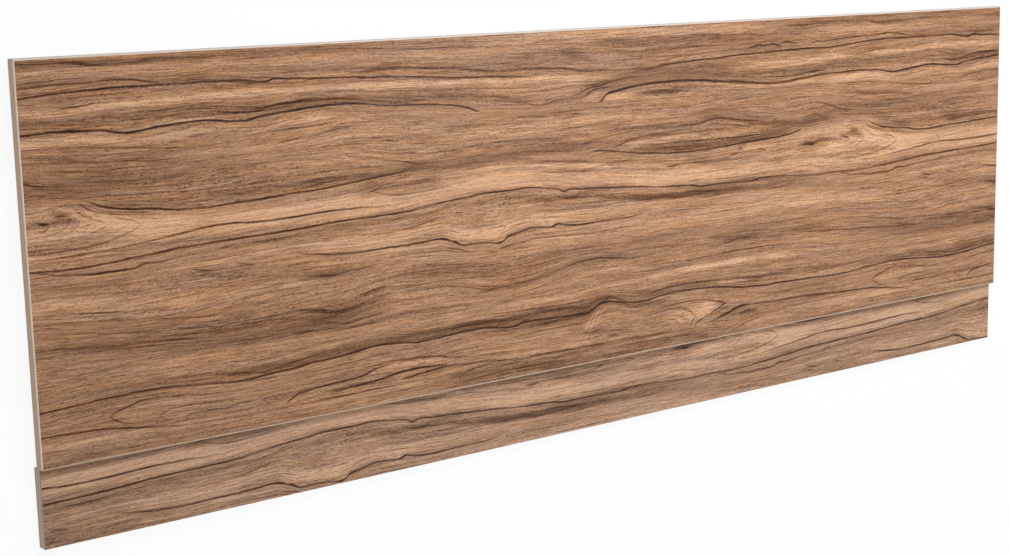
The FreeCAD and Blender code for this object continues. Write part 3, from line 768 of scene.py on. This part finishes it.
# Between the veins the tone comes and goes in streaks, from long and wide ones to specks.
for length, width, detail, amount in (
    (300.0, 12.0, 1.0, 0.16),
    (110.0, 3.4, 2.0, 0.22),
    (40.0, 1.5, 2.0, 0.36),
    (2.6, 1.2, 1.0, 0.17),
):
    tone = plus(tone, streaks(grain, length, width, detail), amount)

# Growth lines: thin dark lines along the grain, close together, that come and go.
growth_depth = -0.13
for spacing, bend, patch in ((3.7, 16.0, 120.0), (7.3, 26.0, 170.0)):
    bent = plus(grain, streaks(grain, 2.0 * patch, 30.0), bend)
    step = calc(sheet, "FRACT", calc(sheet, "MULTIPLY", bent, 1.0 / spacing))
    line = ranged(sheet, step, (0.55, 1.0), (0.0, 1.0))
    shown = ranged(sheet, streaks(grain, patch, 9.0), (0.45, 0.62), (0.0, 1.0))
    tone = plus(tone, calc(sheet, "MULTIPLY", line, shown), growth_depth, 0.1)

# Short dark pores run along the grain all over, with specks among them.
speck_depth = -0.25
pore_depth = -0.12
strewn = plus(along_mm, streaks(grain, 29.0, 3.2), 45.0)
specks = ranged(sheet, streaks(grain, 4.5, 1.3, along=strewn), (0.52, 0.76), (0.0, 1.0))
tone = plus(tone, specks, speck_depth, 0.12)
pores = ranged(sheet, streaks(grain, 12.0, 0.9, along=strewn), (0.52, 0.70), (0.0, 1.0))
tone = plus(tone, pores, pore_depth, 0.15)

# How strong the colours are comes and goes along the grain too.
warmth = streaks(grain, 150.0, 6.0, 2.0)
leave = sheet.nodes.new("NodeGroupOutput")
for name, value in (("Tone", tone), ("Warmth", warmth)):
    sheet.links.new(value, leave.inputs[name])

# Colours of the print from dark to light, of the backing paper, and of the sawn chipboard.
walnut_tones = [
    (0.18, colour(44, 18, 6)),
    (0.30, colour(71, 38, 19)),
    (0.445, colour(108, 71, 45)),
    (0.565, colour(138, 99, 71)),
    (0.68, colour(166, 124, 93)),
    (0.80, colour(193, 147, 112)),
    (0.89, colour(214, 167, 131)),
    (1.00, colour(230, 183, 145)),
]
paper_tones = [(0.35, colour(164, 145, 126)), (0.65, colour(182, 164, 146))]
chip_tones = [(0.38, colour(146, 114, 81)), (0.62, colour(212, 184, 147))]
decor_gloss = 0.15

# A surface that faces lower than the first is the back, and one that faces less to front or back than the
# second is a sawn edge.
back_level = -0.5
edge_level = 0.3


def new_material(name):
    """A material with nothing in it yet."""
    material = bpy.data.materials.new(name)
    material.use_nodes = True
    material.node_tree.nodes.clear()
    return material


def noise(tree, place, scale, detail, roughness):
    """Noise at a place, the same in all directions there."""
    return add(tree, "TexNoise", place, scale, detail, roughness).outputs[0]


def shades(tree, value, stops):
    """A colour for a value, between stops that each have a value and a colour."""
    ramp = add(tree, "ValToRGB", value)
    while len(ramp.color_ramp.elements) < len(stops):
        ramp.color_ramp.elements.new(0.5)
    for element, (position, shade) in zip(ramp.color_ramp.elements, stops):
        element.position = position
        element.color = shade
    return ramp.outputs[0]


def facing(tree):
    """How a surface faces: 1 is out of the panel's face, 0 is along it, and -1 is out of its back."""
    normal = add(tree, "NewGeometry").outputs["Normal"]
    return add(tree, "SeparateXYZ", normal).outputs[2]


def either_colour(tree, share_of_second, first, second):
    """A colour between two others."""
    return add(tree, "Mix", share_of_second, first, second, data_type="RGBA").outputs[2]


def satin_finish(material, cover, roughness, gloss):
    """Ends a material in a satin shader."""
    tree = material.node_tree
    shader = add(tree, "BsdfPrincipled")
    tree.links.new(cover, shader.inputs["Base Color"])
    tree.links.new(roughness, shader.inputs["Roughness"])
    shader.inputs["Specular IOR Level"].default_value = gloss
    add(tree, "OutputMaterial", shader.outputs[0])
    return material


def decor(name, sheet_point, strength, brightness):
    """The printed face of one board over a plain back and sawn edges. The sheet's point is the one that lies
    at the panel's origin, and strength is how strong the print's colours are; below 1 it greys the print as
    painted sheen. Brightness below 1 darkens the whole print as painted shade."""
    material = new_material(name)
    tree = material.node_tree
    where = add(tree, "TexCoord").outputs["Object"]
    millimetres = (1000, 1000, 1000)
    place = add(tree, "Mapping", where, sheet_point, (0, 0, 0), millimetres).outputs[0]
    walnut = add(tree, "Group", place, node_tree=sheet)
    printed = shades(tree, walnut.outputs["Tone"], walnut_tones)
    strong = ranged(tree, walnut.outputs["Warmth"], (0.3, 0.7), (0.92 * strength, 1.06 * strength))
    tinted = add(tree, "HueSaturation", 0.5, strong, brightness, 1.0, printed).outputs[0]
    paper = shades(tree, noise(tree, where, 140.0, 6.0, 0.65), paper_tones)
    chipboard = shades(tree, noise(tree, where, 450.0, 3.0, 0.6), chip_tones)
    outward = facing(tree)
    front = calc(tree, "GREATER_THAN", outward, back_level)
    sawn = calc(tree, "LESS_THAN", calc(tree, "ABSOLUTE", outward), edge_level)
    skin = either_colour(tree, front, paper, tinted)
    cover = either_colour(tree, sawn, skin, chipboard)
    roughness = ranged(tree, walnut.outputs["Tone"], (0.3, 0.9), (0.37, 0.31))
    return satin_finish(material, cover, roughness, decor_gloss)


main_sheet_point = (850.0, 185.0, 0.0)
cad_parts["main_board"].material_slots[0].material = decor("walnut_main", main_sheet_point, 1.0, 1.0)


# Plinth board: the narrow lower board, of the same faced chipboard, set back below the main board.
# It is cut from another part of the same print, further along and higher up. Its print is painted a little
# greyer and darker: painted sheen and painted shade for the cooler sheen and weaker light low on the panel.
cut_along = 255.0
cut_up = 280.0
# Painted sheen and painted shade: these make the plinth's print greyer and darker than the main board's.
plinth_painted_sheen_strength = 0.94
plinth_painted_shade = 0.88
plinth_sheet_point = (main_sheet_point[0] + cut_along, main_sheet_point[1] + cut_up, 0.0)
plinth_decor = decor("walnut_plinth", plinth_sheet_point, plinth_painted_sheen_strength, plinth_painted_shade)
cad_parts["plinth_board"].material_slots[0].material = plinth_decor


# Main board's edging: a plain beige-brown plastic strip glued to each of the four edges and trimmed to a
# round arris. The long strips cover the ends of the short ones. Each shows another tone on the panel's face
# than on its edge, where the trimmed arris is paler. The tones also differ from strip to strip as painted
# light: the top strip is painted greyer and darker as painted shade, the left strip's arris is painted
# lighter as a painted highlight, and the right strip's arris is painted darker as painted shade.
strip_gloss = 0.22


def edging(name, plain, dull, face):
    """Satin plastic with a fine mottle, plain to dull on the edge, and another tone on the panel's face,
    which on the left and right strips is painted light.
    """
    material = new_material(name)
    tree = material.node_tree
    where = add(tree, "TexCoord").outputs["Object"]
    drawn_out = (60, 60, 700)
    place = add(tree, "Mapping", where, (0, 0, 0), (0, 0, 0), drawn_out).outputs[0]
    mottle = noise(tree, place, 1.0, 3.0, 0.6)
    mottle_range = (0.3, 0.7)
    shade = shades(tree, mottle, list(zip(mottle_range, (dull, plain))))
    varied = ranged(tree, mottle, mottle_range, (0.95, 1.03))
    arris_tone_and_painted_light = add(tree, "HueSaturation", 0.5, 1.0, varied, 1.0, face).outputs[0]
    front = ranged(tree, facing(tree), (0.2, 0.55), (0.0, 1.0))
    cover = either_colour(tree, front, shade, arris_tone_and_painted_light)
    roughness = ranged(tree, mottle, mottle_range, (0.5, 0.42))
    return satin_finish(material, cover, roughness, strip_gloss)


# The top strip's edge tones are painted shade; the left strip's face tone is a painted highlight and the
# right strip's face tone painted shade.
for strip, plain, dull, face in (
    ("main_top_edging", colour(178, 164, 152), colour(169, 155, 143), colour(214, 200, 189)),
    ("main_bottom_edging", colour(206, 177, 153), colour(196, 166, 142), colour(204, 179, 158)),
    ("main_left_edging", colour(216, 186, 160), colour(206, 175, 149), colour(236, 214, 194)),
    ("main_right_edging", colour(206, 177, 153), colour(196, 166, 142), colour(166, 131, 105)),
):
    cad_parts[strip].material_slots[0].material = edging(strip + "_plastic", plain, dull, face)


# Plinth's edging: a thinner strip of the same kind, a little greyer, glued to each end of the plinth.
# On the panel's face it is brown, close to the decor beside it.
plinth_plain = colour(210, 188, 170)
plinth_dull = colour(200, 177, 159)
plinth_face = colour(172, 138, 114)
plinth_plastic = edging("plinth_edging_plastic", plinth_plain, plinth_dull, plinth_face)
for strip in ("plinth_left_edging", "plinth_right_edging"):
    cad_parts[strip].material_slots[0].material = plinth_plastic


# Floor: a plain white studio floor that the panel lies on. It isn't part of the object.
# To the camera it is nearly white by itself, and its own shading keeps the panel's shadow.
white = (1.0, 1.0, 1.0, 1.0)
floor_glow = 0.92
shadow_grey = (0.08, 0.08, 0.08, 1.0)
bounce_grey = (0.45, 0.45, 0.45, 1.0)


def in_view(tree):
    """1 for what the camera sees, also in a reflection or through glass, and 0 for what lights the panel."""
    path = add(tree, "LightPath")
    direct = calc(tree, "MAXIMUM", path.outputs["Is Camera Ray"], path.outputs["Is Glossy Ray"])
    return calc(tree, "MAXIMUM", direct, path.outputs["Is Transmission Ray"])


bpy.ops.object.select_all(action="DESELECT")
bpy.ops.mesh.primitive_plane_add(size=40.0, location=(0.0, 0.0, 0.0))
floor = bpy.context.object
floor.name = "floor"
white_floor = new_material("white_floor")
tree = white_floor.node_tree
glow = add(tree, "Emission", white, floor_glow)
shaded = add(tree, "BsdfDiffuse", shadow_grey)
seen_floor = add(tree, "AddShader", glow.outputs[0], shaded.outputs[0])
lit_floor = add(tree, "BsdfDiffuse", bounce_grey)
either = add(tree, "MixShader", in_view(tree), lit_floor.outputs[0], seen_floor.outputs[0])
add(tree, "OutputMaterial", either.outputs[0])
floor.data.materials.append(white_floor)


# Light: an even pale surround, a soft lamp beyond the panel's top edge with a spot in front of it that
# leaves the left end darker, two dim lamps at the right whose sheen shows along the top edge and low on the
# panel, and a weak one by the floor that lights the left end.
surround_strength = 0.28
surround = bpy.data.worlds.new("surround")
surround.use_nodes = True
bpy.context.scene.world = surround
tree = surround.node_tree
tree.nodes.clear()
around = add(tree, "Background", white, surround_strength)
behind = add(tree, "Background", white, 1.0)
either = add(tree, "MixShader", in_view(tree), around.outputs[0], behind.outputs[0])
add(tree, "OutputWorld", either.outputs[0])


def hang(name, kind, place, aim, energy):
    """Hangs a lamp at a place and aims it."""
    lamp_data = bpy.data.lights.new(name, kind)
    lamp_data.energy = energy
    lamp = bpy.data.objects.new(name, lamp_data)
    lamp.location = place
    lamp.rotation_euler = (Vector(aim) - Vector(place)).to_track_quat("-Z", "Y").to_euler()
    bpy.context.collection.objects.link(lamp)
    return lamp_data


def hang_panel(name, place, aim, energy, width, height):
    """Hangs a rectangular lamp."""
    lamp_data = hang(name, "AREA", place, aim, energy)
    lamp_data.shape = "RECTANGLE"
    lamp_data.size = width
    lamp_data.size_y = height


hang_panel("soft_lamp", (0.0, 1.9, 1.9), (0.0, 0.0, 0.0), 39.0, 1.4, 1.2)
spot_lamp = hang("spot_lamp", "SPOT", (0.2, 1.9, 1.9), (0.2, 0.0, 0.0), 51.0)
spot_lamp.spot_size = math.radians(46.0)
spot_lamp.spot_blend = 0.5
spot_lamp.shadow_soft_size = 0.25
hang_panel("sheen_lamp", (1.15, 0.42, 1.9), (0.2, 0.0, 0.0), 10.0, 0.6, 0.2)
hang_panel("low_lamp", (1.3, -1.0, 1.9), (1.3, -0.25, 0.0), 8.6, 3.0, 0.5)
hang_panel("end_lamp", (-2.6, 0.1, 0.25), (-0.85, 0.0, 0.01), 5.0, 0.8, 0.3)


# Camera: it looks down on the panel from beyond its left end, with the panel's top edge up in the picture.
# Its place, aim, roll and lens are fitted to the boards' edges in the photograph.
camera_place = Vector((-1.59775, 0.37138, 1.90019))
camera_aim = Vector((-0.188, -0.04517, 0.024))
roll = math.radians(1.3759)
ahead = (camera_aim - camera_place).normalized()
across = ahead.cross(Vector((0.0, 1.0, 0.0))).normalized()
upward = across.cross(ahead)
turned = Matrix((across, upward, -ahead)).transposed().to_4x4()
camera_data = bpy.data.cameras.new("camera")
camera_data.sensor_fit = "HORIZONTAL"
camera_data.sensor_width = 36.0
camera_data.lens = 63.529
camera_data.clip_end = 100.0
camera = bpy.data.objects.new("camera", camera_data)
camera.matrix_world = Matrix.Translation(camera_place) @ turned @ Matrix.Rotation(-roll, 4, "Z")
bpy.context.collection.objects.link(camera)
bpy.context.scene.camera = camera
bpy.context.scene.view_settings.view_transform = "Standard"
